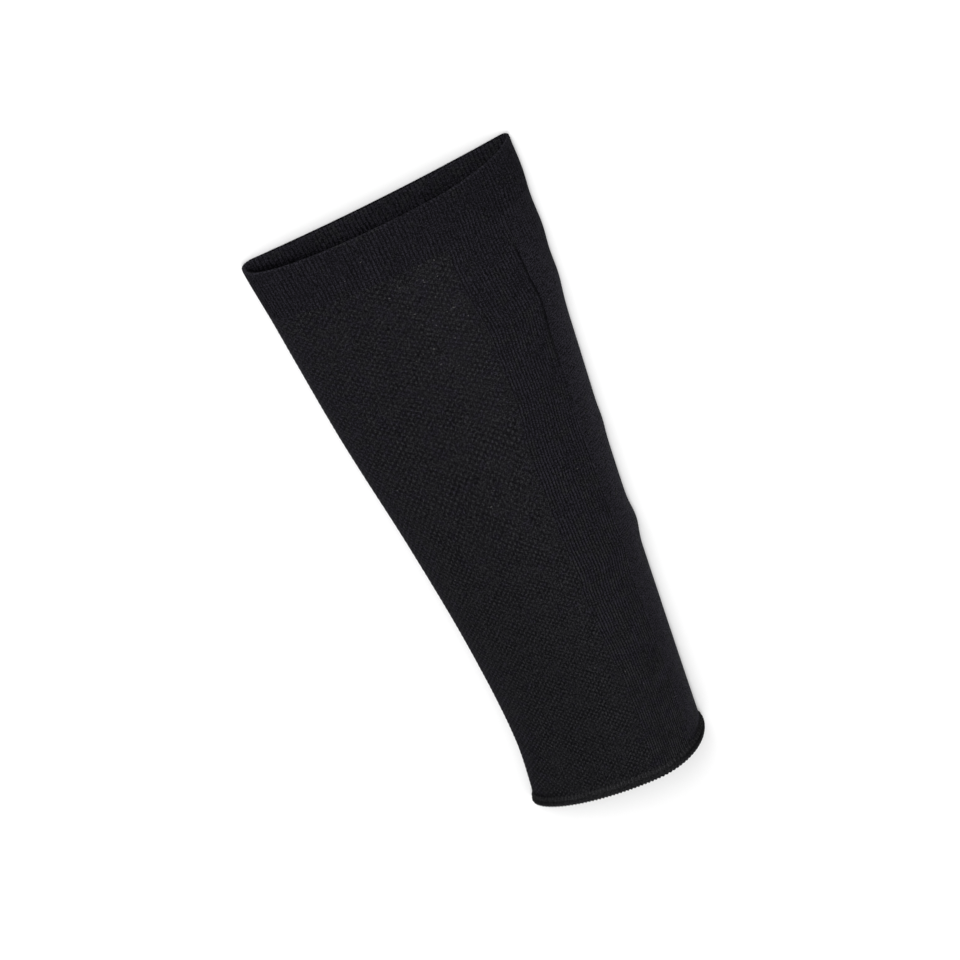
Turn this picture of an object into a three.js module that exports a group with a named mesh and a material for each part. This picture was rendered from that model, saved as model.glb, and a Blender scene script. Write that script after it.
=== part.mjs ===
// Calf compression sleeve: one seamless knitted tube, open at both ends, lying empty on its back.
// The wide calf end is at +Y, the ankle end at -Y, the shin side at -X and the calf side at +X.
// Millimetres, +Z up, with the origin under the middle of the sleeve on the surface that it lies on.
import * as THREE from "three";

// Driving dimensions
const sleeveLength = 340; // from the hem's edge to the rim
const topWidth = 138; // across the folds at the rim
const ankleWidth = 95.5; // across the folds where the sleeve is narrowest, just above the hem
const loftHeight = 35; // crest of the upper wall above the surface
const shinFoldRadius = 6.5; // height of the shin fold above the surface, and the radius under it
const calfFoldRadius = 4; // the same at the calf fold
const rimSlant = 3.9; // how far the rim at the calf fold lies beyond the rim's middle
const rimDish = 1.8; // how far both ends of the rim curve up besides
const hemSlant = 2; // how far the hem at the shin fold lies beyond the hem's middle
const sideBow = 3; // how far the lower half bows towards the calf side
const rippleDepth = 1; // depth of the small waves along the folds
const bandHeight = 25; // ribbed top band, along the leg
const bandWall = 2;
const lipHeight = 0.8; // how far the rim's rounded lip reaches down the band
const knitWall = 1.5; // wall of the leg tube
const ribCount = 140; // ribs, or wales, round the whole tube
const ribDepth = 0.35; // from a rib's crest to the groove beside it
const panelRecess = 0.25; // how far the rib panel lies below the knit beside it
const seamDepth = 0.5; // groove where the rib panel meets the plain calf panel
const hemHeight = 6; // rolled ankle hem, along the leg
const hemThickness = 3;
const hemFlare = 1.4; // how far the hem stands proud of the knit
const seamGap = 0.3; // between the band, the tube and the hem

// Resolution of the faceted surfaces
const hemPoints = 70;
const hemFacets = 8;
const tubeRings = 22;
const liningRings = 7;
const plainSteps = 2; // wales between two points of the plain knit
const sectionSteps = 480;

// Cross sections from the ankle end to the calf end.
//   along    share of sleeveLength, from the hem's edge
//   width    share of the way from ankleWidth to topWidth
//   bow      share of sideBow
//   loft     share of loftHeight
//   crest    the crest's place, as a share of the half width, towards the calf side
//   shin     fullness of the arch on the shin side, 2 being an ellipse
//   calf     fullness of the arch on the calf side
const sections = [
  { along: 0.0, width: 0.04, bow: 0.05, loft: 0.99, crest: 0.35, shin: 1.7, calf: 2.0 },
  { along: 0.12, width: 0.0, bow: 1.05, loft: 0.98, crest: 0.35, shin: 1.9, calf: 2.0 },
  { along: 0.3, width: 0.13, bow: 1.3, loft: 0.97, crest: 0.33, shin: 2.1, calf: 2.0 },
  { along: 0.5, width: 0.37, bow: 0.95, loft: 0.97, crest: 0.31, shin: 2.3, calf: 2.0 },
  { along: 0.7, width: 0.68, bow: 0.45, loft: 0.96, crest: 0.3, shin: 2.4, calf: 2.0 },
  { along: 0.85, width: 0.87, bow: 0.35, loft: 0.96, crest: 0.3, shin: 2.5, calf: 1.9 },
  { along: 1.0, width: 1.0, bow: 0.05, loft: 0.96, crest: 0.28, shin: 2.7, calf: 1.9 },
];

// Small waves along the folds: along and reach are shares of sleeveLength, push a share of rippleDepth.
const ripples = [
  { side: "shin", along: 0.99, reach: 0.05, push: 0.6 },
  { side: "calf", along: 0.95, reach: 0.03, push: 0.7 },
  { side: "calf", along: 0.86, reach: 0.03, push: 0.8 },
  { side: "calf", along: 0.785, reach: 0.03, push: 0.9 },
  { side: "calf", along: 0.55, reach: 0.02, push: 0.5 },
  { side: "calf", along: 0.38, reach: 0.025, push: 1.5 },
];

// Knit zones round the tube, in wales counted from the shin fold over the top.
const ribPanelStart = 47;
const ribPanelEnd = 61;

// The ends reach from the hem at the shin fold to the rim at the calf fold.
const lengthMiddle = (sleeveLength + rimSlant + rimDish - hemSlant) / 2;

// A value of the section table at a share of the length, on a smooth curve through the rows.
function sectionValue(column, along) {
  const last = sections.length - 1;
  const slope = (i) => {
    const before = sections[Math.max(i - 1, 0)];
    const after = sections[Math.min(i + 1, last)];
    return (after[column] - before[column]) / (after.along - before.along);
  };
  let i = 0;
  while (i < last - 1 && along > sections[i + 1].along) i += 1;
  const span = sections[i + 1].along - sections[i].along;
  const t = (along - sections[i].along) / span;
  return (
    sections[i][column] * (2 * t ** 3 - 3 * t ** 2 + 1) +
    slope(i) * span * (t ** 3 - 2 * t ** 2 + t) +
    sections[i + 1][column] * (3 * t ** 2 - 2 * t ** 3) +
    slope(i + 1) * span * (t ** 3 - t ** 2)
  );
}

function rippleAt(side, along) {
  return ripples
    .filter((ripple) => ripple.side === side)
    .reduce((sum, { along: middle, reach, push }) => {
      return sum + rippleDepth * push * Math.exp(-(((along - middle) / reach) ** 2));
    }, 0);
}

// The sleeve's outline at one place along the leg, as a closed curve in X and Z. It starts at the
// shin fold, goes over the arched upper wall to the calf fold, and comes back under the flat back.
class SectionCurve extends THREE.Curve {
  constructor(along) {
    super();
    this.arcLengthDivisions = sectionSteps;
    const halfWidth = (ankleWidth + (topWidth - ankleWidth) * sectionValue("width", along)) / 2;
    this.middle = sideBow * sectionValue("bow", along);
    this.halfWidth = halfWidth;
    this.shinFold = this.middle - halfWidth - rippleAt("shin", along);
    this.calfFold = this.middle + halfWidth + rippleAt("calf", along);
    this.crest = this.middle + halfWidth * sectionValue("crest", along);
    this.top = loftHeight * sectionValue("loft", along);
    this.shinPower = 2 / sectionValue("shin", along);
    this.calfPower = 2 / sectionValue("calf", along);
  }

  // A quarter of the turn is each side of the arch, and the back takes the rest.
  getPoint(turn, target = new THREE.Vector3()) {
    const t = turn < 0 ? turn + 1 : turn % 1;
    if (t < 0.5) {
      const across = -Math.cos(2 * Math.PI * t);
      const fold = across < 0 ? this.shinFold : this.calfFold;
      const power = across < 0 ? this.shinPower : this.calfPower;
      const radius = across < 0 ? shinFoldRadius : calfFoldRadius;
      const reach = Math.abs(across) ** power;
      const rise = Math.max(Math.sin(2 * Math.PI * t), 0) ** power;
      const x = this.crest + (fold - this.crest) * reach;
      return target.set(x, 0, radius + (this.top - radius) * rise);
    }
    return this.backPoint(2 * t - 1, target);
  }

  // The back: a quarter circle under the calf fold, the flat stretch, and one under the shin fold.
  backPoint(t, target) {
    const flatStart = 0.2;
    const flatEnd = 0.8;
    const calfEdge = this.calfFold - calfFoldRadius;
    const shinEdge = this.shinFold + shinFoldRadius;
    if (t < flatStart) {
      const angle = ((t / flatStart) * Math.PI) / 2;
      const height = calfFoldRadius * (1 - Math.sin(angle));
      return target.set(calfEdge + calfFoldRadius * Math.cos(angle), 0, height);
    }
    if (t < flatEnd) {
      const share = (t - flatStart) / (flatEnd - flatStart);
      return target.set(calfEdge + (shinEdge - calfEdge) * share, 0, 0);
    }
    const angle = (((t - flatEnd) / (1 - flatEnd)) * Math.PI) / 2;
    const height = shinFoldRadius * (1 - Math.cos(angle));
    return target.set(shinEdge - shinFoldRadius * Math.sin(angle), 0, height);
  }
}

// One closed loop of the wall: wales lists the places round the tube, and inset gives the depth
// under the outline at each of them. A negative inset stands proud, but never under the surface.
function wallLoop(distance, wales, inset) {
  const along = THREE.MathUtils.clamp(distance / sleeveLength, 0, 1);
  const curve = new SectionCurve(along);
  const endSlant = THREE.MathUtils.lerp(hemSlant, rimSlant, along);
  return wales.map((wale) => {
    const point = curve.getPointAt(wale / ribCount);
    const tangent = curve.getTangentAt(wale / ribCount);
    const depth = inset(wale, point);
    const x = point.x + tangent.z * depth;
    const z = Math.max(point.z - tangent.x * depth, 0);
    const across = (x - curve.middle) / curve.halfWidth;
    const dish = rimDish * (along * across) ** 2;
    return new THREE.Vector3(x, distance - lengthMiddle + endSlant * across + dish, z);
  });
}

// Joins each loop to the next, and the last to the first, into one closed surface.
function shellOf(loops) {
  const count = loops[0].length;
  const positions = loops.flatMap((loop) => loop.flatMap((point) => point.toArray()));
  const triangles = [];
  loops.forEach((_, row) => {
    const next = (row + 1) % loops.length;
    for (let i = 0; i < count; i += 1) {
      const j = (i + 1) % count;
      const corners = [row * count + i, row * count + j, next * count + j, next * count + i];
      triangles.push(corners[0], corners[1], corners[2], corners[0], corners[2], corners[3]);
    }
  });
  const shell = new THREE.BufferGeometry();
  shell.setAttribute("position", new THREE.Float32BufferAttribute(positions, 3));
  shell.setIndex(triangles);
  shell.computeVertexNormals();
  return shell;
}

// Places between two lengths, both included.
function spread(from, to, count) {
  return Array.from({ length: count }, (_, i) => from + ((to - from) * i) / (count - 1));
}

// Ribs are pressed flat where the sleeve lies on them.
function ribFade(point) {
  return THREE.MathUtils.smoothstep(point.z, 0, calfFoldRadius);
}

// Top band: two points a rib, crest and groove, with a rounded lip at the rim.
function topBand() {
  const wales = spread(0, ribCount - 0.5, 2 * ribCount);
  const grooved = (wale, point) => (wale % 1 === 0 ? 0 : ribDepth * ribFade(point));
  const foot = sleeveLength - bandHeight + seamGap;
  const lip = sleeveLength - lipHeight;
  return shellOf([
    wallLoop(foot, wales, grooved),
    wallLoop((foot + lip) / 2, wales, grooved),
    wallLoop(lip, wales, grooved),
    wallLoop(sleeveLength, wales, () => bandWall / 2),
    wallLoop(lip, wales, () => bandWall),
    wallLoop(foot, wales, () => bandWall),
  ]);
}

// Leg tube: smooth knit, with the recessed rib panel beside the crest and its seam groove.
function legTube() {
  const ribs = ribPanelEnd - ribPanelStart;
  const wales = [
    ...spread(0, ribPanelStart - plainSteps / 2, ribPanelStart / plainSteps),
    ...spread(ribPanelStart, ribPanelEnd, 2 * ribs + 1),
    ...spread(ribPanelEnd + 1, ribCount - plainSteps / 2, (ribCount - ribPanelEnd) / plainSteps),
  ];
  const surface = (wale) => {
    if (wale < ribPanelStart || wale > ribPanelEnd) return 0;
    if (wale === ribPanelStart) return panelRecess / 2;
    if (wale === ribPanelEnd) return seamDepth;
    return panelRecess + (wale % 1 === 0 ? ribDepth : 0);
  };
  const foot = hemHeight + seamGap;
  const head = sleeveLength - bandHeight;
  const outside = spread(foot, head, tubeRings).map((at) => wallLoop(at, wales, surface));
  const inside = spread(head, foot, liningRings).map((at) => wallLoop(at, wales, () => knitWall));
  return shellOf([...outside, ...inside]);
}

// Ankle hem: a rolled edge that stands proud of the knit outside and inside.
function ankleHem() {
  const wales = spread(0, ribCount - ribCount / hemPoints, hemPoints);
  const facets = Array.from({ length: hemFacets }, (_, i) => ((i + 0.5) / hemFacets) * 2 * Math.PI);
  return shellOf(
    facets.map((angle) => {
      const round = 1 / Math.cos(Math.PI / hemFacets);
      const rise = (hemHeight / 2) * (1 - round * Math.cos(angle));
      const inset = (hemThickness / 2) * (1 - round * Math.sin(angle)) - hemFlare;
      return wallLoop(rise, wales, () => inset);
    }),
  );
}

// Charcoal-black elastic knit.
function knit(color, roughness) {
  return new THREE.MeshStandardMaterial({ color, roughness, metalness: 0 });
}

const pieces = [
  { name: "top_band", geometry: topBand(), material: knit(0x1c1c1f, 0.9) },
  { name: "leg_tube", geometry: legTube(), material: knit(0x1e1e21, 0.92) },
  { name: "ankle_hem", geometry: ankleHem(), material: knit(0x242427, 0.88) },
];

const sleeve = new THREE.Group();
for (const { name, geometry, material } of pieces) {
  const mesh = new THREE.Mesh(geometry, material);
  mesh.name = name;
  sleeve.add(mesh);
}

export default sleeve;
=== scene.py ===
"""Calf compression sleeve, lying empty on its back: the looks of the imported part, in metres, +Z up.

The knit's wales run along the leg and are counted round the tube, from the shin fold over the
top. Its courses run round the tube and are counted along the leg, from the hem's edge. The real
knit is finer in some zones: stitch_at turns a count of wales into one of stitches, in which the
relief and the materials work.
"""

import math

import bpy
import numpy as np
from mathutils import Matrix, Vector


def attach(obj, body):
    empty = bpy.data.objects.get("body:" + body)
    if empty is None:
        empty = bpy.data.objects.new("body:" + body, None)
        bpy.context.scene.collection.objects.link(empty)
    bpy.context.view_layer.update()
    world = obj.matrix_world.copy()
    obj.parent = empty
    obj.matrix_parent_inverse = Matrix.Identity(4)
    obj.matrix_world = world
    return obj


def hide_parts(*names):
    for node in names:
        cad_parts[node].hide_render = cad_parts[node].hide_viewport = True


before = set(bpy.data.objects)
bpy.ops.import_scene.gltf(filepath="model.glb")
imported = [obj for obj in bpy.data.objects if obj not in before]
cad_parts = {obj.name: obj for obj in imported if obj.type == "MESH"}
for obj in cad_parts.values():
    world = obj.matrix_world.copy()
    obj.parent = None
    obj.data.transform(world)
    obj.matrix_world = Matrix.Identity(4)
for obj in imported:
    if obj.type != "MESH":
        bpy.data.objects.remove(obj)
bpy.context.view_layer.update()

# The sleeve's own sizes, the same as the frame's
SLEEVE_LENGTH = 0.340
TOP_WIDTH = 0.138
ANKLE_WIDTH = 0.0955
LOFT_HEIGHT = 0.035
SHIN_FOLD_RADIUS = 0.0065
CALF_FOLD_RADIUS = 0.004
RIM_SLANT = 0.0039
RIM_DISH = 0.0018
HEM_SLANT = 0.002
SIDE_BOW = 0.003
RIPPLE_DEPTH = 0.001
BAND_HEIGHT = 0.025
BAND_WALL = 0.002
LIP_HEIGHT = 0.0008
KNIT_WALL = 0.0015
RIB_DEPTH = 0.00035
PANEL_RECESS = 0.00025
SEAM_DEPTH = 0.0005
HEM_HEIGHT = 0.006
HEM_THICKNESS = 0.003
HEM_FLARE = 0.0014
LENGTH_MIDDLE = (SLEEVE_LENGTH + RIM_SLANT + RIM_DISH - HEM_SLANT) / 2

# Cross sections from the ankle end to the calf end, as shares of the sizes above
COLUMNS = ("along", "width", "bow", "loft", "crest", "shin", "calf")
SECTIONS = (
    (0.0, 0.04, 0.05, 0.99, 0.35, 1.7, 2.0),
    (0.12, 0.0, 1.05, 0.98, 0.35, 1.9, 2.0),
    (0.3, 0.13, 1.3, 0.97, 0.33, 2.1, 2.0),
    (0.5, 0.37, 0.95, 0.97, 0.31, 2.3, 2.0),
    (0.7, 0.68, 0.45, 0.96, 0.3, 2.4, 2.0),
    (0.85, 0.87, 0.35, 0.96, 0.3, 2.5, 1.9),
    (1.0, 1.0, 0.05, 0.96, 0.28, 2.7, 1.9),
)
TABLE = dict(zip(COLUMNS, np.array(SECTIONS).T))

# Small waves along the folds: side, along, reach, push
RIPPLES = (
    ("shin", 0.99, 0.05, 0.6),
    ("calf", 0.95, 0.03, 0.7),
    ("calf", 0.86, 0.03, 0.8),
    ("calf", 0.785, 0.03, 0.9),
    ("calf", 0.55, 0.02, 0.5),
    ("calf", 0.38, 0.025, 1.5),
)

# How far the wales stray towards the calf side where the mesh ends and at the seam, in wales
STRAY_COLUMNS = ("distance", "mesh_edge", "seam")
STRAYS = (
    (0.006, -1.4, -0.4),
    (0.060, -1.5, 0.1),
    (0.108, -2.7, -0.1),
    (0.155, -2.0, 0.8),
    (0.190, -1.4, 0.4),
    (0.235, 0.7, 1.0),
    (0.264, 0.7, 1.4),
    (0.300, -1.0, -0.1),
    (0.316, -0.6, -0.3),
    (0.340, 0.0, 0.0),
)
STRAY = dict(zip(STRAY_COLUMNS, np.array(STRAYS).T))
STRAY_LIMITS = (8, 88)  # wales outside these run straight

# The knit: places round the tube in wales, places along the leg in metres from the hem's edge
WALES = 140
MESH_START = -8  # behind the shin fold, where the mesh meets the calf panel again
RIB_START = 47
RIB_END = 61
CALF_FOLD_WALE = 75
ZONE_EDGES = (MESH_START, RIB_START, RIB_END, WALES + MESH_START)
ZONE_STITCHES = (-8, 52, 71, 147)  # the same edges, counted in stitches
COURSE_HEIGHT = 0.00147  # height of a course where the knit is not stretched
CALF_STRETCH = 0.00055  # how much taller a course is over the thickest part of the calf
CALF_THICKEST = 0.19
CALF_REACH = 0.038  # how far from there the courses are still stretched
MESH_DEPTH = 0.00036  # from the crest of a tuck stitch to the gap beside it
STITCH_DEPTH = 0.00022  # relief of the plain knit
BAND_RIBS_END = (0.301, 0.266)  # where the band's ribs run out, at the seam and at the calf fold
SEAM_START = (0.190, 0.260)  # the seam groove deepens between these places
SEAM_END = (0.294, 0.306)  # and ends between these, under the band
SEAM_TRACE = 0.08  # what is left of it elsewhere
LEG_LAP = 0.0012  # how far the leg reaches under the hem
ROW_STEP = 0.5  # courses from one row of points to the next
RIB_STEPS = 6  # columns of points to a stitch
PLAIN_STEPS = 3
BACK_WALES = 3  # steps of a panel's face to one of its back
BACK_ROWS = 4
BAND_ROWS = 35
LIP_STEPS = 8
LINING_ROWS = 18

# Lightness of the yarn, and painted light and shade
LINING_TONE_AND_PAINTED_LIGHT = 1.9  # the purl side inside the band is lighter, and painted light brightens it further inside the mouth
LINING_LIT = 0.0145  # how deep the light reaches past the front rim, at the most
LINING_SHADE = 0.78
# painted highlight on the rim's lip
LIP_HIGHLIGHT_TONE = 1.04
BAND_TONE = 0.83
SEAM_TONE = 0.05
SEAM_SHADOW = 0.16  # width of the seam's shadow, in wales
RIB_TONE = 0.88
RIB_RISE = 0.06  # how much lighter the rib panel gets over the last few wales before the seam
RIB_RISE_WALES = 6
CALF_TONE = 0.84
CALF_PAINTED_SHEEN = 0.42  # painted sheen: how much lighter the calf panel gets where it turns to the side
CALF_SHEEN_WALES = 10
BAND_SHADE = 0.25  # how much darker it is where it still has the band's ribs
MESH_TONE = 0.96
MESH_PAINTED_HIGHLIGHT = 0.12  # painted highlight: how much lighter the mesh is where it faces up
HIGHLIGHT_WALE = 42
HIGHLIGHT_REACH = 9
HEM_SHADE = 0.75
HEM_SHADE_REACH = 0.0016
HEM_SHADE_PLACE = 0.0066

# The overlocked hem
HEM_LOOPS = 112
HEM_STEPS = 8  # steps to a loop
HEM_TURNS = 32  # steps round the hem's own section
HEM_SPLIT = 0.54 * math.pi  # angle of the groove between the ridge and the roll
HEM_WAIST = 0.0009  # depth of the groove between the ridge and the roll
HEM_GROOVE = 0.16  # reach of that groove, as an angle
HEM_RIDGE = 0.0005  # how much lower the ridge is than the roll
HEM_SCALLOP = 0.0002  # how far each loop draws the edge in
HEM_MIDDLE = 36  # wale at the middle of the hem's front
HEM_SIDES = (18, 32)  # the front becomes a side between these numbers of wales from its middle
HEM_OVERLAP = 0.0008  # how far the ridge's threads reach on to the leg
THREAD_RADIUS = 0.0003
STRAND_RADIUS = 0.00042
STRAND_TONE = 1.15

# Bare filaments
FILAMENTS = 44
FILAMENT_RADIUS = 0.00008
THICKET_SHARE = 0.6  # how many of them stand high on the mesh
THICKET_WALE = (40, 4)  # middle and spread of their places
THICKET_DISTANCE = (0.285, 0.025)
rng = np.random.default_rng(7)


# The outline of the tube


def smooth_step(low, high, value):
    t = np.clip((value - low) / (high - low), 0, 1)
    return t * t * (3 - 2 * t)


def bell(value, middle, width):
    return np.exp(-(((value - middle) / width) ** 2))


def section_value(column, along):
    """One column of the section table at a share of the length, on a smooth curve."""
    at, values = TABLE["along"], TABLE[column]
    slopes = np.empty(len(at))
    slopes[1:-1] = (values[2:] - values[:-2]) / (at[2:] - at[:-2])
    slopes[0] = (values[1] - values[0]) / (at[1] - at[0])
    slopes[-1] = (values[-1] - values[-2]) / (at[-1] - at[-2])
    i = int(np.clip(np.searchsorted(at, along) - 1, 0, len(at) - 2))
    span = at[i + 1] - at[i]
    t = (along - at[i]) / span
    start = values[i] * (2 * t**3 - 3 * t**2 + 1) + slopes[i] * span * (t**3 - 2 * t**2 + t)
    return start + values[i + 1] * (3 * t**2 - 2 * t**3) + slopes[i + 1] * span * (t**3 - t**2)


def ripple_at(side, along):
    """How far the small waves push the fold of one side out at a share of the length."""
    waves = [ripple[1:] for ripple in RIPPLES if ripple[0] == side]
    pushes = (push * math.exp(-(((along - at) / reach) ** 2)) for at, reach, push in waves)
    return RIPPLE_DEPTH * sum(pushes)


def outline(along, arch_steps=480, fold_steps=60, flat_steps=240):
    """The closed outline in X and Z at a share of the length, with its middle and half width."""
    half = (ANKLE_WIDTH + (TOP_WIDTH - ANKLE_WIDTH) * section_value("width", along)) / 2
    middle = SIDE_BOW * section_value("bow", along)
    shin_fold = middle - half - ripple_at("shin", along)
    calf_fold = middle + half + ripple_at("calf", along)
    crest = middle + half * section_value("crest", along)
    top = LOFT_HEIGHT * section_value("loft", along)

    turn = np.linspace(0, math.pi, arch_steps, endpoint=False)
    shin_side = turn < math.pi / 2
    power = np.where(shin_side, 2 / section_value("shin", along), 2 / section_value("calf", along))
    radius = np.where(shin_side, SHIN_FOLD_RADIUS, CALF_FOLD_RADIUS)
    fold = np.where(shin_side, shin_fold, calf_fold)
    x = [crest + (fold - crest) * np.abs(np.cos(turn)) ** power]
    z = [radius + (top - radius) * np.sin(turn) ** power]

    angle = np.linspace(0, math.pi / 2, fold_steps, endpoint=False)
    x.append(calf_fold - CALF_FOLD_RADIUS * (1 - np.cos(angle)))
    z.append(CALF_FOLD_RADIUS * (1 - np.sin(angle)))
    flat_ends = (calf_fold - CALF_FOLD_RADIUS, shin_fold + SHIN_FOLD_RADIUS)
    x.append(np.linspace(*flat_ends, flat_steps, endpoint=False))
    z.append(np.zeros(flat_steps))
    x.append(shin_fold + SHIN_FOLD_RADIUS * (1 - np.sin(angle)))
    z.append(SHIN_FOLD_RADIUS * (1 - np.cos(angle)))
    return np.concatenate(x), np.concatenate(z), middle, half


def strayed(distance, wales):
    """Places round the tube of some wales, which wander a little on their way along the leg."""
    at = STRAY["distance"]
    i = int(np.clip(np.searchsorted(at, distance) - 1, 0, len(at) - 2))
    t = float(smooth_step(at[i], at[i + 1], distance))
    strays = [STRAY[key][i] * (1 - t) + STRAY[key][i + 1] * t for key in ("mesh_edge", "seam")]
    first, last = STRAY_LIMITS
    return wales + np.interp(wales, (first, RIB_START, RIB_END, last), (0, *strays, 0))


def wall(distances, wales, inset):
    """Points of the wall: a row for each distance along the leg and a column for each wale.

    inset is the depth under the outline. What stands proud is pressed flat on the surface."""
    inset = np.broadcast_to(inset, (len(distances), len(wales)))
    points = np.empty((len(distances), len(wales), 3))
    for row, distance in enumerate(distances):
        along = float(np.clip(distance / SLEEVE_LENGTH, 0, 1))
        x, z, middle, half = outline(along)
        steps = np.hypot(np.roll(x, -1) - x, np.roll(z, -1) - z)
        share = np.concatenate(([0], np.cumsum(steps)[:-1])) / steps.sum()
        tangent_x = np.roll(x, -1) - np.roll(x, 1)
        tangent_z = np.roll(z, -1) - np.roll(z, 1)
        length = np.hypot(tangent_x, tangent_z)
        at = (strayed(distance, np.asarray(wales)) / WALES) % 1
        px, pz, tx, tz = (
            np.interp(at, share, values, period=1)
            for values in (x, z, tangent_x / length, tangent_z / length)
        )
        px = px + tz * inset[row]
        pz = np.maximum(pz - tx * inset[row], 0)
        across = (px - middle) / half
        slant = (HEM_SLANT + (RIM_SLANT - HEM_SLANT) * along) * across
        dish = RIM_DISH * (along * across) ** 2
        points[row] = np.stack([px, distance - LENGTH_MIDDLE + slant + dish, pz], axis=1)
    return points


# Courses and stitches

COURSE_PLACES = np.linspace(-0.01, SLEEVE_LENGTH + 0.01, 721)
STRETCH = CALF_STRETCH * bell(COURSE_PLACES, CALF_THICKEST, CALF_REACH)
COURSE_STEPS = (COURSE_PLACES[1] - COURSE_PLACES[0]) / (COURSE_HEIGHT + STRETCH)
COURSE_COUNTS = np.cumsum(COURSE_STEPS) - COURSE_STEPS[0]


def course_at(distance):
    return np.interp(distance, COURSE_PLACES, COURSE_COUNTS)


def distance_at(course):
    return np.interp(course, COURSE_COUNTS, COURSE_PLACES)


def stitch_at(wale):
    """A place round the tube counted in stitches, which are finest in the side ribs."""
    return np.interp(wale, ZONE_EDGES, ZONE_STITCHES)


def zone_columns(first, last, steps):
    """Wales across the zones between two edges, a whole number of steps to each stitch."""
    low, high = stitch_at([first, last])
    stitches = np.linspace(low, high, int(round((high - low) * steps)) + 1)
    return np.interp(stitches, ZONE_STITCHES, ZONE_EDGES)


# Meshes


def sheet_faces(index):
    """Quads of a grid of vertex numbers, facing away from rows crossed with columns."""
    a, b, c, d = index[:-1, :-1], index[:-1, 1:], index[1:, 1:], index[1:, :-1]
    return np.stack([a, b, c, d], axis=-1).reshape(-1, 4)


def strip_faces(fine, coarse):
    """Triangles between two edges: the fine one has a whole number of steps to each coarse one."""
    ratio = (len(fine) - 1) // (len(coarse) - 1)
    faces = []
    for k in range(len(coarse) - 1):
        start = k * ratio
        faces += [(fine[start + i], fine[start + i + 1], coarse[k]) for i in range(ratio)]
        faces.append((fine[start + ratio], coarse[k + 1], coarse[k]))
    return faces


def make_piece(name, points, quads, triangles, attributes, material, nodes):
    """A closed mesh with its knit coordinates, riding on the frame's one body."""
    mesh = bpy.data.meshes.new(name)
    faces = [tuple(map(int, face)) for face in (*quads, *triangles)]
    mesh.from_pydata(points.tolist(), [], faces)
    mesh.update()
    if sum_volume(mesh) < 0:
        mesh.flip_normals()
    for key, values in attributes.items():
        kind, field = ("FLOAT_VECTOR", "vector") if values.ndim == 2 else ("FLOAT", "value")
        layer = mesh.attributes.new(key, kind, "POINT")
        layer.data.foreach_set(field, values.astype(np.float32).ravel())
    mesh.shade_smooth()
    mesh.set_sharp_from_angle(angle=math.radians(70))
    mesh.materials.append(material)
    piece = bpy.data.objects.new(name, mesh)
    bpy.context.scene.collection.objects.link(piece)
    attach(piece, "root")
    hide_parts(*nodes)


def sum_volume(mesh):
    """Six times the volume inside a mesh, below 0 where its faces look inwards."""
    mesh.calc_loop_triangles()
    corners = np.empty(len(mesh.loop_triangles) * 3, np.int32)
    mesh.loop_triangles.foreach_get("vertices", corners)
    co = np.empty(len(mesh.vertices) * 3)
    mesh.vertices.foreach_get("co", co)
    a, b, c = (co.reshape(-1, 3)[corners.reshape(-1, 3)[:, i]] for i in range(3))
    return float(np.einsum("ij,ij->i", a, np.cross(b, c)).sum())


def knit_coordinates(distances, wales, rib_share, tone):
    """Stitch, course and share of ribbing for each point of a grid, and how light its yarn is, with
    painted light and shade.
    """
    w, c = np.meshgrid(stitch_at(wales), course_at(distances))
    knit = np.stack([w.ravel(), c.ravel(), np.broadcast_to(rib_share, w.shape).ravel()], axis=1)
    return {"knit": knit, "tone": np.broadcast_to(tone, w.shape).ravel()}


def panel(name, wales, distances, relief, rib_share, tone, material):
    """A closed piece of the leg's knit between two wales: its face, its coarser back and its edges."""
    w, d = np.meshgrid(wales, distances)
    face = wall(distances, wales, relief(w, d))
    back_wales, back_rows = wales[::BACK_WALES], distances[::BACK_ROWS]
    back = wall(back_rows, back_wales, KNIT_WALL)
    front_index = np.arange(face.shape[0] * face.shape[1]).reshape(face.shape[:2])
    back_index = front_index.size + np.arange(back.shape[0] * back.shape[1]).reshape(back.shape[:2])
    quads = np.concatenate([sheet_faces(front_index), sheet_faces(back_index[:, ::-1])])
    triangles = strip_faces(front_index[0, ::-1], back_index[0, ::-1])
    triangles += strip_faces(front_index[-1], back_index[-1])
    triangles += strip_faces(front_index[:, 0], back_index[:, 0])
    triangles += strip_faces(front_index[::-1, -1], back_index[::-1, -1])
    points = np.concatenate([face.reshape(-1, 3), back.reshape(-1, 3)])
    front = knit_coordinates(distances, wales, rib_share(w, d), tone(w, d))
    rear = knit_coordinates(back_rows, back_wales, 0.0, 1.0)
    attributes = {key: np.concatenate([front[key], rear[key]]) for key in front}
    make_piece(name, points, quads, triangles, attributes, material, ["leg_tube"])


def ring(name, wales, distances, insets, tone, material, nodes):
    """A closed band round the leg, from rows of points that go up its face and down its lining."""
    points = wall(distances, wales, insets)
    rows, count = points.shape[:2]
    index = np.arange(rows * count).reshape(rows, count)
    index = np.concatenate([index, index[:, :1]], axis=1)
    index = np.concatenate([index, index[:1]], axis=0)
    attributes = knit_coordinates(distances, wales, 1.0, tone)
    make_piece(name, points.reshape(-1, 3), sheet_faces(index), [], attributes, material, nodes)
    return points


NO_THREAD_WAY = (0.31, 0.52, 0.79)  # a direction that no thread takes
TIP = 0.12  # how blunt a thread's ends are, as an angle


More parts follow.
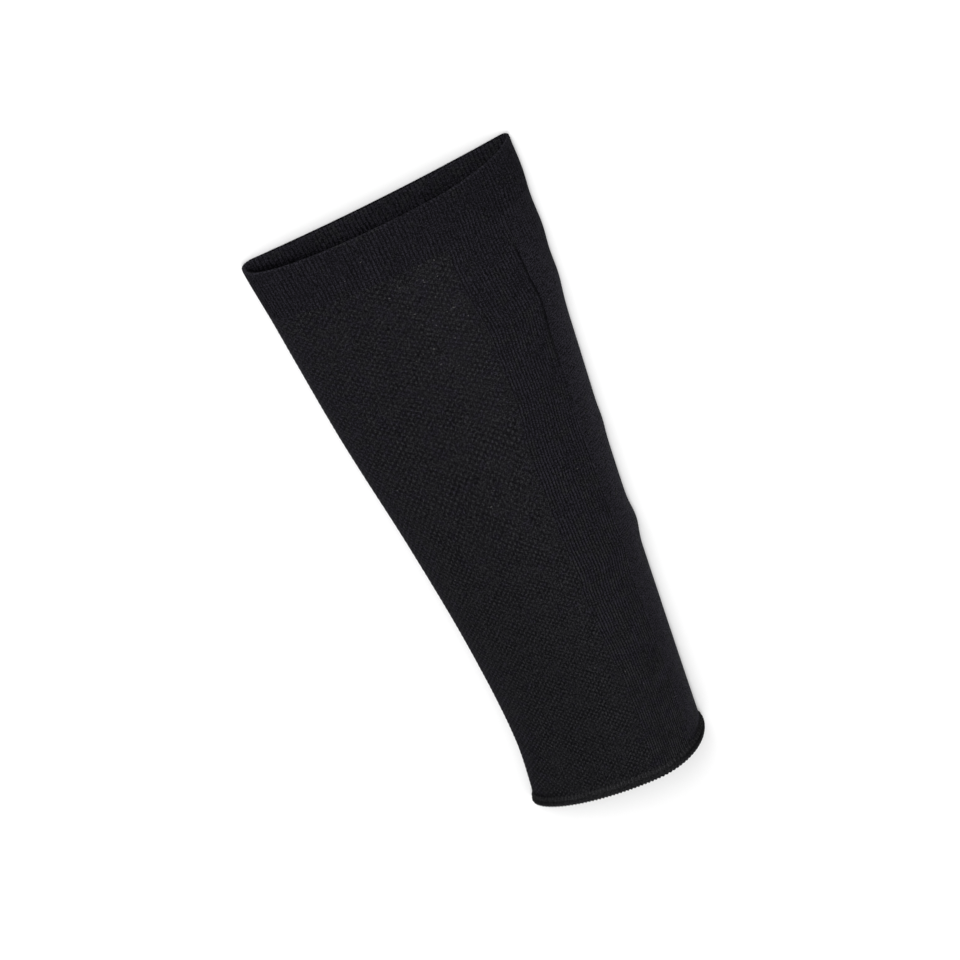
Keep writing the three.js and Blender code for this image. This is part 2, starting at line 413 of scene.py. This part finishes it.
def tube(path, radius, sides=6):
    """A closed thread along a path, tapering to rounded ends: its points and its quads.

    It never sinks into what the sleeve lies on."""
    path = np.array(path)
    path[:, 2] = np.maximum(path[:, 2], radius)
    ahead = np.gradient(path, axis=0)
    ahead /= np.linalg.norm(ahead, axis=1, keepdims=True)
    across = np.cross(ahead, NO_THREAD_WAY)
    across /= np.linalg.norm(across, axis=1, keepdims=True)
    over = np.cross(ahead, across)
    angles = np.linspace(0, 2 * math.pi, sides, endpoint=False)
    taper = np.sin(np.linspace(TIP, math.pi - TIP, len(path))) ** 0.35
    spokes = across[:, None] * np.cos(angles)[:, None] + over[:, None] * np.sin(angles)[:, None]
    points = path[:, None] + spokes * (radius * taper)[:, None, None]
    index = np.arange(len(path) * sides).reshape(len(path), sides)
    faces = sheet_faces(np.concatenate([index, index[:, :1]], axis=1)).tolist()
    return points.reshape(-1, 3), faces + [index[0].tolist(), index[-1, ::-1].tolist()]


def threads(name, paths, radius, material, nodes, slot, tone=1.0):
    """Many loose threads as one piece, each a closed tube. tone is one number, or one a thread."""
    points, faces, start = [], [], 0
    for path in paths:
        tube_points, tube_faces = tube(path, radius)
        points.append(tube_points)
        faces += [[start + corner for corner in face] for face in tube_faces]
        start += len(tube_points)
    points = np.concatenate(points)
    tones = np.broadcast_to(tone, len(paths))
    attributes = {"knit": points * 1000, "tone": np.repeat(tones, len(points) // len(paths))}
    make_piece(name, points, faces, [], attributes, material, nodes)


# Materials


class Graph:
    """Short calls for building the nodes of one material."""

    def __init__(self, name):
        self.material = bpy.data.materials.new(name)
        self.material.use_nodes = True
        self.tree = self.material.node_tree
        self.shader = self.tree.nodes["Principled BSDF"]

    def node(self, kind, settings, inputs):
        made = self.tree.nodes.new(kind)
        for key, value in settings.items():
            setattr(made, key, value)
        for key, value in inputs.items():
            if isinstance(value, bpy.types.NodeSocket):
                self.tree.links.new(value, made.inputs[key])
            else:
                made.inputs[key].default_value = value
        return made

    def math(self, operation, *values, clamp=False):
        settings = {"operation": operation, "use_clamp": clamp}
        return self.node("ShaderNodeMath", settings, dict(enumerate(values))).outputs[0]

    def knit(self):
        """The knit coordinates, as a vector and as stitch, course and share of ribbing."""
        vector = self.node("ShaderNodeAttribute", {"attribute_name": "knit"}, {}).outputs["Vector"]
        parts = self.node("ShaderNodeSeparateXYZ", {}, {0: vector}).outputs
        return vector, parts[0], parts[1], parts[2]

    def tone(self):
        return self.node("ShaderNodeAttribute", {"attribute_name": "tone"}, {}).outputs["Fac"]

    def place(self):
        return self.node("ShaderNodeTexCoord", {}, {}).outputs["Object"]

    def noise(self, vector, scale, detail=2.0, roughness=0.5):
        inputs = {"Vector": vector, "Scale": scale, "Detail": detail, "Roughness": roughness}
        return self.node("ShaderNodeTexNoise", {}, inputs).outputs["Fac"]

    def wave(self, value, cycles=1.0, phase=0.0):
        """A cosine wave from 0 to 1."""
        angle = self.math("MULTIPLY_ADD", value, 2 * math.pi * cycles, phase)
        return self.math("MULTIPLY_ADD", self.math("COSINE", angle), 0.5, 0.5)

    def remap(self, value, low, high, new_low=0.0, new_high=1.0):
        inputs = {"Value": value, 1: low, 2: high, 3: new_low, 4: new_high}
        return self.node("ShaderNodeMapRange", {"clamp": True}, inputs).outputs[0]

    def blend(self, factor, first, second):
        settings = {"data_type": "RGBA"}
        made = self.node("ShaderNodeMix", settings, {0: factor})
        for socket, value in ((made.inputs[6], first), (made.inputs[7], second)):
            if isinstance(value, bpy.types.NodeSocket):
                self.tree.links.new(value, socket)
            else:
                socket.default_value = (*value, 1.0)
        return made.outputs[2]

    def mix(self, factor, first, second):
        """A number between two others."""
        inputs = {0: factor, 2: first, 3: second}
        return self.node("ShaderNodeMix", {"data_type": "FLOAT"}, inputs).outputs[0]

    def bump(self, height, strength, distance):
        inputs = {"Height": height, "Strength": strength, "Distance": distance}
        return self.node("ShaderNodeBump", {}, inputs).outputs["Normal"]

    def finish(self, colour, roughness, normal, sheen, sheen_tint, specular):
        links = self.tree.links
        inputs = {0: colour, "Scale": self.tone()}
        scaled = self.node("ShaderNodeVectorMath", {"operation": "SCALE"}, inputs)
        links.new(scaled.outputs[0], self.shader.inputs["Base Color"])
        links.new(roughness, self.shader.inputs["Roughness"])
        links.new(normal, self.shader.inputs["Normal"])
        self.shader.inputs["Sheen Weight"].default_value = sheen
        self.shader.inputs["Sheen Roughness"].default_value = 0.45
        self.shader.inputs["Sheen Tint"].default_value = (*sheen_tint, 1.0)
        self.shader.inputs["Specular IOR Level"].default_value = specular
        return self.material


# the yarn's darkest grain, and the painted shade between its stitches
YARN_DARK_AND_GAP_SHADE = (0.0022, 0.0022, 0.0027)
YARN_GREY = (0.0280, 0.0280, 0.0304)
YARN_VIOLET = (0.0268, 0.0251, 0.0335)
SHEEN_TINT = (0.62, 0.58, 0.72)
THREAD_DARK = (0.0010, 0.0010, 0.0013)
THREAD_GREY = (0.0230, 0.0229, 0.0244)
THREAD_TINT = (0.7, 0.68, 0.74)
FILAMENT_GREY = (0.16, 0.155, 0.15)
CALMING = (1.1, 2.0)  # the grain gets calmer between these tones, as on the purl side
FUZZ_SCALE = 1800.0
JITTER_SCALE = 700.0
PATCH_SCALE = 170.0
SWAY_SCALE = 0.2
UNEVEN_SCALE = 0.13


def stitch_legs(g, stitch, course):
    """Height of plain knit: each stitch is a V of two slanted legs."""
    across = g.math("FRACT", stitch)
    from_middle = g.math("MULTIPLY", g.math("ABSOLUTE", g.math("SUBTRACT", across, 0.5)), 2.0)
    leg = g.math("SINE", g.math("MULTIPLY", from_middle, math.pi))
    slanted = g.math("MULTIPLY_ADD", from_middle, 0.55, course)
    step = g.wave(slanted)
    return g.math("MULTIPLY", leg, g.math("MULTIPLY_ADD", step, 0.65, 0.35))


def rib_height(g, stitch, course):
    """Height of ribs: a full crest to each stitch with a narrow gap beside it, and steps along it."""
    gap = g.math("POWER", g.math("SUBTRACT", 1.0, g.wave(stitch)), 2.2)
    gap = g.math("MULTIPLY", gap, g.math("MULTIPLY_ADD", g.wave(stitch, 0.5), 0.5, 0.55))
    step = g.math("MULTIPLY", g.wave(stitch, 2.0, math.pi), g.wave(course))
    return g.math("MULTIPLY", g.math("SUBTRACT", 1.0, gap), g.math("MULTIPLY_ADD", step, 0.3, 0.7))


def mesh_height(g, stitch, course):
    """Height of the piqué mesh: an oval tuck stitch in every other place of every course."""
    across = g.math("COSINE", g.math("MULTIPLY", stitch, math.pi))
    along = g.math("COSINE", g.math("MULTIPLY", course, math.pi))
    crest = g.math("MULTIPLY_ADD", g.math("MULTIPLY", across, along), 0.5, 0.5)
    dot = g.math("MULTIPLY", g.math("POWER", crest, 1.5), 1.3)
    return g.math("MULTIPLY", dot, g.math("MULTIPLY_ADD", g.wave(stitch), 0.65, 0.35))


def knit_material(name, pattern, contrast, grain, base, violet, gloss=0.012):
    """Charcoal elastic yarn: painted shade between its stitches and painted light on their crests,
    grainy, and violet in patches.

    contrast and violet, the share of those patches, have a value at the ankle and one at the calf.
    grain and base are the strength of the yarn's grain and its lightness without it."""
    g = Graph(name)
    vector, stitch, course, rib_share = g.knit()
    place = g.place()
    calm = g.remap(g.tone(), *CALMING, 1.0, 0.5)
    sway = g.math("SUBTRACT", g.noise(vector, SWAY_SCALE), 0.5)
    stitch = g.math("MULTIPLY_ADD", sway, 0.6, stitch)
    jitter = g.math("SUBTRACT", g.noise(place, JITTER_SCALE, 1.0), 0.5)
    course = g.math("MULTIPLY_ADD", jitter, 0.7, course)
    height = pattern(g, stitch, course, rib_share)
    uneven = g.remap(g.noise(vector, UNEVEN_SCALE), 0.35, 0.65, 0.6, 1.3)
    uneven = g.math("MULTIPLY", uneven, calm)
    along = g.node("ShaderNodeSeparateXYZ", {}, {0: place}).outputs[1]
    depth = g.remap(along, -LENGTH_MIDDLE, LENGTH_MIDDLE, *contrast)
    # Painted light and shade of the stitches: lighter on their crests, darker in their gaps
    stitches = g.math("MULTIPLY", g.math("SUBTRACT", height, 0.5), g.math("MULTIPLY", uneven, depth))
    fuzz = g.math("SUBTRACT", g.noise(place, FUZZ_SCALE, 3.0, 0.75), 0.5)
    specks = g.math("MULTIPLY_ADD", fuzz, g.math("MULTIPLY", calm, grain), base)
    shade = g.math("ADD", specks, stitches, clamp=True)
    edges = [0.5 + 0.28 * (0.5 - share) for share in violet]
    edge = g.remap(along, -LENGTH_MIDDLE, LENGTH_MIDDLE, *edges)
    # More violet towards the shin fold: a painted violet sheen along that grazing side
    edge = g.math("ADD", edge, g.remap(stitch, 3.0, 14.0, -0.2, 0.0))
    edge = g.math("ADD", edge, g.remap(g.tone(), *CALMING, 0.0, 0.09))
    patch = g.remap(g.math("SUBTRACT", g.noise(place, PATCH_SCALE, 5.0, 0.65), edge), -0.025, 0.025)
    colour = g.blend(shade, YARN_DARK_AND_GAP_SHADE, g.blend(patch, YARN_GREY, YARN_VIOLET))
    relief = g.math("MULTIPLY_ADD", fuzz, 1.2, height)
    normal = g.bump(relief, 0.5, 0.0003)
    roughness = g.remap(fuzz, -0.25, 0.25, 0.75, 0.6)
    return g.finish(colour, roughness, normal, 0.003, SHEEN_TINT, gloss)


def plain_pattern(g, stitch, course, rib_share):
    return g.mix(rib_share, stitch_legs(g, stitch, course), rib_height(g, stitch, course))


def rib_pattern(g, stitch, course, _):
    return rib_height(g, stitch, course)


def mesh_pattern(g, stitch, course, _):
    return mesh_height(g, stitch, course)


def thread_material():
    """Textured overlock thread: twisted plies with a dull sheen."""
    g = Graph("overlock_thread")
    place = g.place()
    fuzz = g.math("SUBTRACT", g.noise(place, 1500.0, 3.0, 0.7), 0.5)
    shade = g.math("MULTIPLY_ADD", fuzz, 3.2, 0.5, clamp=True)
    colour = g.blend(shade, THREAD_DARK, THREAD_GREY)
    normal = g.bump(fuzz, 0.8, 0.0003)
    roughness = g.remap(fuzz, -0.25, 0.25, 0.7, 0.5)
    return g.finish(colour, roughness, normal, 0.005, THREAD_TINT, 0.015)


def filament_material():
    """Bare elastic filament, clear and shiny."""
    material = bpy.data.materials.new("elastic_filament")
    material.use_nodes = True
    shader = material.node_tree.nodes["Principled BSDF"]
    shader.inputs["Base Color"].default_value = (*FILAMENT_GREY, 1)
    shader.inputs["Roughness"].default_value = 0.25
    shader.inputs["Specular IOR Level"].default_value = 0.6
    return material


# Relief of each zone, as a depth under the outline, and the lightness of its yarn with painted light
# and shade


def cell_noise(w, c, amount, seed):
    """A steady random value for each stitch."""
    table = np.random.default_rng(seed).uniform(1 - amount, 1 + amount, (256, 256))
    return table[np.round(w).astype(int) % 256, np.round(c).astype(int) % 256]


def seam_strength(d):
    """The seam groove is deep below the band and fades from a quarter of the way down the leg."""
    return SEAM_TRACE + (1 - SEAM_TRACE) * smooth_step(*SEAM_START, d) * (1 - smooth_step(*SEAM_END, d))


def hem_side(w):
    """1 at the sides of the hem and behind, 0 at the middle of its front."""
    return smooth_step(*HEM_SIDES, np.abs(w - HEM_MIDDLE))


def hem_shadow(w, d):
    """The knit is darker where it goes under the hem at both sides."""
    return 1 - HEM_SHADE * hem_side(w) * bell(d, HEM_SHADE_PLACE, HEM_SHADE_REACH)


def mesh_relief(w, d):
    """Tuck stitches that bulge in every other cell. The edges next to other zones stay level."""
    n, c = stitch_at(w), course_at(d)
    bulge = np.cos(math.pi * n) * np.cos(math.pi * c)
    bulge = np.sign(bulge) * np.abs(bulge) ** 0.8 * cell_noise(n, c, 0.3, 11)
    depth = MESH_DEPTH * (1 - 0.4 * d / SLEEVE_LENGTH) * (0.5 - 0.5 * np.clip(bulge, -1, 1))
    edge = smooth_step(0, 0.7, RIB_START - w) * smooth_step(0, 1.5, w - MESH_START)
    return depth * edge + PANEL_RECESS / 2 * (1 - edge)


def rib_relief(w, d):
    """Ribs in a panel that lies a little lower than the mesh, with the seam groove at its calf side."""
    n, c = stitch_at(w), course_at(d)
    groove = (0.5 + 0.5 * np.cos(2 * math.pi * n)) ** 1.3 * (0.8 + 0.2 * np.cos(math.pi * n))
    stitch = 0.5 + 0.5 * np.cos(2 * math.pi * c)
    depth = PANEL_RECESS + RIB_DEPTH * (groove + 0.15 * stitch * (1 - groove))
    depth = PANEL_RECESS / 2 + (depth - PANEL_RECESS / 2) * smooth_step(0, 0.5, w - RIB_START)
    seam = 1 - smooth_step(0, 0.3, RIB_END - w)
    return depth * (1 - seam) + SEAM_DEPTH * seam_strength(d) * seam


def seam_tone(w, d):
    """The shadow in the seam groove, and at both sides of it a slow change of lightness: on the calf
    side a painted sheen where the panel turns to the side.
    """
    shadow = bell(w, RIB_END, SEAM_SHADOW)
    # painted sheen where the calf panel turns to the side, weaker towards the band
    turned = smooth_step(RIB_END, RIB_END + CALF_SHEEN_WALES, w) * (1 - 0.8 * smooth_step(0.235, 0.3, d))
    calf_light = (CALF_TONE + CALF_PAINTED_SHEEN * turned) * (1 - BAND_SHADE * rib_reach(w, d))
    rib_light = RIB_TONE + RIB_RISE * smooth_step(RIB_END - RIB_RISE_WALES, RIB_END, w)
    light = np.where(w > RIB_END, calf_light, rib_light)
    return light * (1 - (1 - SEAM_TONE) * seam_strength(d) * shadow) * hem_shadow(w, d)


def rib_reach(w, d):
    """The share of the band's ribbing that a point of the calf panel has: all above a slanted line."""
    at_seam, at_fold = BAND_RIBS_END
    line = at_seam + (at_fold - at_seam) * np.clip((w - RIB_END) / (CALF_FOLD_WALE - RIB_END), 0, 1)
    return smooth_step(-0.004, 0.007, d - line)


def calf_relief(w, d):
    """Plain stitches, with the band's ribs running a short way into them."""
    n, c = stitch_at(w), course_at(d)
    across = np.abs(n % 1 - 0.5) * 2
    legs = np.sin(math.pi * across) * (0.6 + 0.4 * np.cos(2 * math.pi * (c + 0.55 * across)))
    ribs = 0.5 + 0.5 * np.cos(2 * math.pi * n)
    share = rib_reach(w, d)
    depth = (1 - share) * STITCH_DEPTH * (1 - legs) + share * RIB_DEPTH * ribs
    seam = 1 - smooth_step(0, 0.35, w - RIB_END)
    far = smooth_step(0, 1.5, WALES + MESH_START - w)
    depth = depth * far + PANEL_RECESS / 2 * (1 - far)
    return depth * (1 - seam) + SEAM_DEPTH * seam_strength(d) * seam


# Pieces


def top_band(material):
    """Ribbed welt: up the face, over the rounded lip, and down the ribbed lining."""
    wales = zone_columns(MESH_START, WALES + MESH_START, RIB_STEPS)[:-1]
    foot, lip = SLEEVE_LENGTH - BAND_HEIGHT, SLEEVE_LENGTH - LIP_HEIGHT
    face = distance_at(np.linspace(course_at(foot), course_at(lip), BAND_ROWS))
    angles = np.linspace(0, math.pi, LIP_STEPS + 1)[1:-1]
    lining = np.linspace(lip, foot, LINING_ROWS)
    distances = np.concatenate([face, lip + LIP_HEIGHT * np.sin(angles), lining])
    level = np.concatenate(
        [np.zeros(len(face)), BAND_WALL / 2 * (1 - np.cos(angles)), np.full(len(lining), BAND_WALL)]
    )
    outward = np.concatenate([np.ones(len(face)), np.cos(angles), np.full(len(lining), -0.8)])
    w, d = np.meshgrid(wales, distances)
    n, c = stitch_at(w), course_at(d)
    groove = (0.5 + 0.5 * np.cos(2 * math.pi * n)) ** 1.2 * cell_noise(n, c * 0, 0.25, 5)
    stitch = 0.12 * (0.5 + 0.5 * np.cos(2 * math.pi * c)) * (1 - groove)
    insets = level[:, None] + RIB_DEPTH * (groove + stitch) * outward[:, None]
    # Painted shadow that the front rim throws on the lining, darker past where the light reaches
    from_fold = np.minimum(wales % WALES, WALES - wales % WALES) / (WALES - CALF_FOLD_WALE)
    lit = LINING_LIT * np.sin(0.75 * math.pi * np.clip(from_fold, 0, 1)) ** 0.6
    shaded = 1 - LINING_SHADE * smooth_step(0.35 * lit, lit + 0.001, (lip - lining)[:, None])
    behind = smooth_step(CALF_FOLD_WALE - 3, CALF_FOLD_WALE + 3, wales)
    # Painted highlight on the lip at the shin fold's corner; the lip of the back rim is darker
    painted_lip_light = 1 + 0.3 * (1 - smooth_step(3, 9, np.abs(wales))) - 0.35 * behind
    face_tone = np.full((len(face), len(wales)), BAND_TONE)
    lip_tone = np.tile(LIP_HIGHLIGHT_TONE * painted_lip_light, (len(angles), 1))
    # The lining's tone holds painted light inside the mouth and the front rim's painted shadow
    tone = np.concatenate([face_tone, lip_tone, LINING_TONE_AND_PAINTED_LIGHT * shaded])
    ring("ribbed_top_band", wales, distances, insets, tone, material, ["top_band"])


def leg_rows():
    """Distances of the leg tube's rows of points, a whole number of them to each row behind."""
    start, end = course_at([HEM_HEIGHT - LEG_LAP, SLEEVE_LENGTH - BAND_HEIGHT])
    count = int(round((end - start) / ROW_STEP / BACK_ROWS)) * BACK_ROWS
    return distance_at(end + ROW_STEP * np.arange(-count, 1))


def on_ring(points, row, column):
    """A place on a ring's grid of points, between its columns."""
    count = points.shape[1]
    left = int(math.floor(column))
    share = column - left
    return points[row, left % count] * (1 - share) + points[row, (left + 1) % count] * share


def ankle_hem(material):
    """Rolled edge: an upper ridge and a lower roll, both bound by overlock threads."""
    wales = np.arange(HEM_LOOPS * HEM_STEPS) * WALES / (HEM_LOOPS * HEM_STEPS)
    turn = np.linspace(0, 2 * math.pi, HEM_TURNS, endpoint=False)
    rise = HEM_HEIGHT / 2 * (1 - np.cos(turn))
    at_side = hem_side(wales)
    split = bell(turn, HEM_SPLIT, HEM_GROOVE)[:, None]
    waist = HEM_WAIST * split * (0.45 + 0.55 * at_side)
    ridge = HEM_RIDGE * smooth_step(HEM_SPLIT, HEM_SPLIT + 0.5, turn) * (turn < math.pi)
    inset = HEM_THICKNESS / 2 * (1 - np.sin(turn)) - HEM_FLARE + ridge
    # The hem's tone: painted shade at its sides and behind, and in the groove between ridge and roll;
    # also darker from wale 48 round to the calf side
    tone = 0.93 - 0.15 * at_side - 0.2 * smooth_step(48, 58, wales) - split * (0.35 + 0.3 * at_side)
    scallop = 0.5 + 0.5 * np.cos(2 * math.pi * np.arange(len(wales)) / HEM_STEPS)
    low = np.clip(np.cos(turn), 0, 1)[:, None]
    insets = inset[:, None] + waist + HEM_SCALLOP * scallop * (0.4 + low)
    points = ring("rolled_hem", wales, rise, insets, tone, material, ["ankle_hem"])

    reach = wall([HEM_HEIGHT + HEM_OVERLAP], wales, PANEL_RECESS)
    points = np.concatenate([points[: HEM_TURNS // 2], reach, points[HEM_TURNS // 2 :]])
    over_ridge = range(int(HEM_TURNS * 0.3) + 1, HEM_TURNS // 2 + 1)
    over_roll = range(-3, int(HEM_TURNS * 0.26))
    loops = [(k + 0.5) * HEM_STEPS for k in range(HEM_LOOPS)]
    # The stitches are lighter at the hem's front and darker at its sides: painted shade
    stitch_tones = 1.9 - 0.9 * hem_side(wales[[int(at) for at in loops]])
    stitches = [[on_ring(points, row, at) for row in over_ridge] for at in loops]
    strands = [[on_ring(points, row, at + 0.8 * row) for row in over_roll] for at in loops]
    hem = (material, ["ankle_hem"], "hem_thread")
    threads("overlock_stitches", stitches, THREAD_RADIUS, *hem, stitch_tones)
    threads("overlock_strands", strands, STRAND_RADIUS, *hem, STRAND_TONE)


def elastic_filaments(material):
    """A few bare filaments that stand out of the knit, most of them high on the mesh."""
    paths = []
    for _ in range(FILAMENTS):
        if rng.random() < THICKET_SHARE:
            wale, distance = rng.normal(*THICKET_WALE), rng.normal(*THICKET_DISTANCE)
        else:
            wale, distance = rng.uniform(4, 70), rng.uniform(0.02, 0.335)
        wale, distance = min(wale, 72), min(distance, 0.336)
        lean, reach = rng.normal(0, 0.12), rng.uniform(0.0001, 0.00025)
        steps = np.linspace(-1, 1, 5)
        places = [wall([distance + reach * t], [wale + lean * t], -0.00005)[0, 0] for t in steps]
        paths.append(places)
    threads("elastic_filaments", paths, FILAMENT_RADIUS, material, ["leg_tube"], "leg_knit")


def no_ribs(w, d):
    return np.zeros_like(w)


def all_ribs(w, d):
    return np.ones_like(w)


def front_tone(w, d):
    """The mesh is a little lighter where it faces up, beside the ribs: a painted highlight."""
    return (MESH_TONE + MESH_PAINTED_HIGHLIGHT * bell(w, HIGHLIGHT_WALE, HIGHLIGHT_REACH)) * hem_shadow(w, d)


mesh_knit = knit_material("mesh_knit", mesh_pattern, (0.50, 0.30), 4.0, 0.275, (0.08, 0.4))
rib_knit = knit_material("rib_knit", rib_pattern, (1.8, 0.7), 5.2, 0.18, (0.35, 0.88))
plain_knit = knit_material("plain_knit", plain_pattern, (0.9, 1.3), 9.0, 0.4, (0.75, 0.95), gloss=0.016)
overlock_thread = thread_material()

top_band(rib_knit)
rows = leg_rows()
shin_wales = zone_columns(MESH_START, RIB_START, PLAIN_STEPS)
panel("shin_mesh_panel", shin_wales, rows, mesh_relief, no_ribs, front_tone, mesh_knit)
rib_wales = zone_columns(RIB_START, RIB_END, RIB_STEPS)
panel("side_rib_panel", rib_wales, rows, rib_relief, all_ribs, seam_tone, rib_knit)
calf_wales = zone_columns(RIB_END, WALES + MESH_START, PLAIN_STEPS)
panel("calf_panel", calf_wales, rows, calf_relief, rib_reach, seam_tone, plain_knit)
ankle_hem(overlock_thread)
elastic_filaments(filament_material())


# The stage: a pale floor, soft light and the photograph's viewpoint

FLOOR_SIZE = 6.0
FLOOR_DROP = 0.0001  # so that it never shares a plane with the knit
FLOOR_TONE = 0.86
SKY_STRENGTH = 0.7
LIGHTS = (  # name, place, size and power
    ("key", (-0.3, 1.3, 1.3), 1.0, 17),
    ("top", (-0.13, 0.12, 1.6), 0.5, 10),
)
CAMERA_TARGET = (0.0007, -0.0009, 0.0)
CAMERA_DISTANCE = 1.25
CAMERA_ELEVATION = math.radians(62)
CAMERA_ROLL = math.radians(23.45)
IMAGE_SIZE = 960
FOCAL_PIXELS = 2514.7
ORIGIN_RIGHT = 23.6  # pixels from the image's centre to the origin's place in it
ORIGIN_DOWN = 13.7
SENSOR = 36.0


def make_floor():
    mesh = bpy.data.meshes.new("floor")
    half = FLOOR_SIZE / 2
    corners = [(-half, -half, 0), (half, -half, 0), (half, half, 0), (-half, half, 0)]
    mesh.from_pydata(corners, [], [(0, 1, 2, 3)])
    floor = bpy.data.objects.new("floor", mesh)
    floor.location.z = -FLOOR_DROP
    material = bpy.data.materials.new("pale_floor")
    material.use_nodes = True
    shader = material.node_tree.nodes["Principled BSDF"]
    shader.inputs["Base Color"].default_value = (FLOOR_TONE, FLOOR_TONE, FLOOR_TONE, 1)
    shader.inputs["Roughness"].default_value = 0.9
    shader.inputs["Specular IOR Level"].default_value = 0.1
    mesh.materials.append(material)
    bpy.context.scene.collection.objects.link(floor)


def make_light(name, place, size, power):
    """A round soft light that looks at the sleeve."""
    data = bpy.data.lights.new(name, "AREA")
    data.shape = "DISK"
    data.size = size
    data.energy = power
    light = bpy.data.objects.new(name, data)
    light.location = place
    light.rotation_euler = (-Vector(place)).to_track_quat("-Z", "Y").to_euler()
    bpy.context.scene.collection.objects.link(light)


def make_camera():
    """The calf end is nearest, and the picture is turned so that it comes out at the upper left."""
    back = Vector((0, math.cos(CAMERA_ELEVATION), math.sin(CAMERA_ELEVATION)))
    away = Vector((0, math.sin(CAMERA_ELEVATION), -math.cos(CAMERA_ELEVATION)))
    side = Vector((1, 0, 0))
    right = side * math.cos(CAMERA_ROLL) - away * math.sin(CAMERA_ROLL)
    up = side * math.sin(CAMERA_ROLL) + away * math.cos(CAMERA_ROLL)
    data = bpy.data.cameras.new("camera")
    data.sensor_width = SENSOR
    data.lens = FOCAL_PIXELS / IMAGE_SIZE * SENSOR
    data.shift_x = -ORIGIN_RIGHT / IMAGE_SIZE
    data.shift_y = ORIGIN_DOWN / IMAGE_SIZE
    camera = bpy.data.objects.new("camera", data)
    turned = Matrix((right, up, back)).transposed().to_4x4()
    camera.matrix_world = Matrix.Translation(Vector(CAMERA_TARGET) + back * CAMERA_DISTANCE) @ turned
    bpy.context.scene.collection.objects.link(camera)
    bpy.context.scene.camera = camera


def make_world():
    world = bpy.data.worlds.new("studio")
    world.use_nodes = True
    background = world.node_tree.nodes["Background"]
    background.inputs["Color"].default_value = (1.0, 1.0, 1.0, 1)
    background.inputs["Strength"].default_value = SKY_STRENGTH
    bpy.context.scene.world = world


make_floor()
make_world()
for values in LIGHTS:
    make_light(*values)
make_camera()
bpy.context.scene.view_settings.view_transform = "Standard"
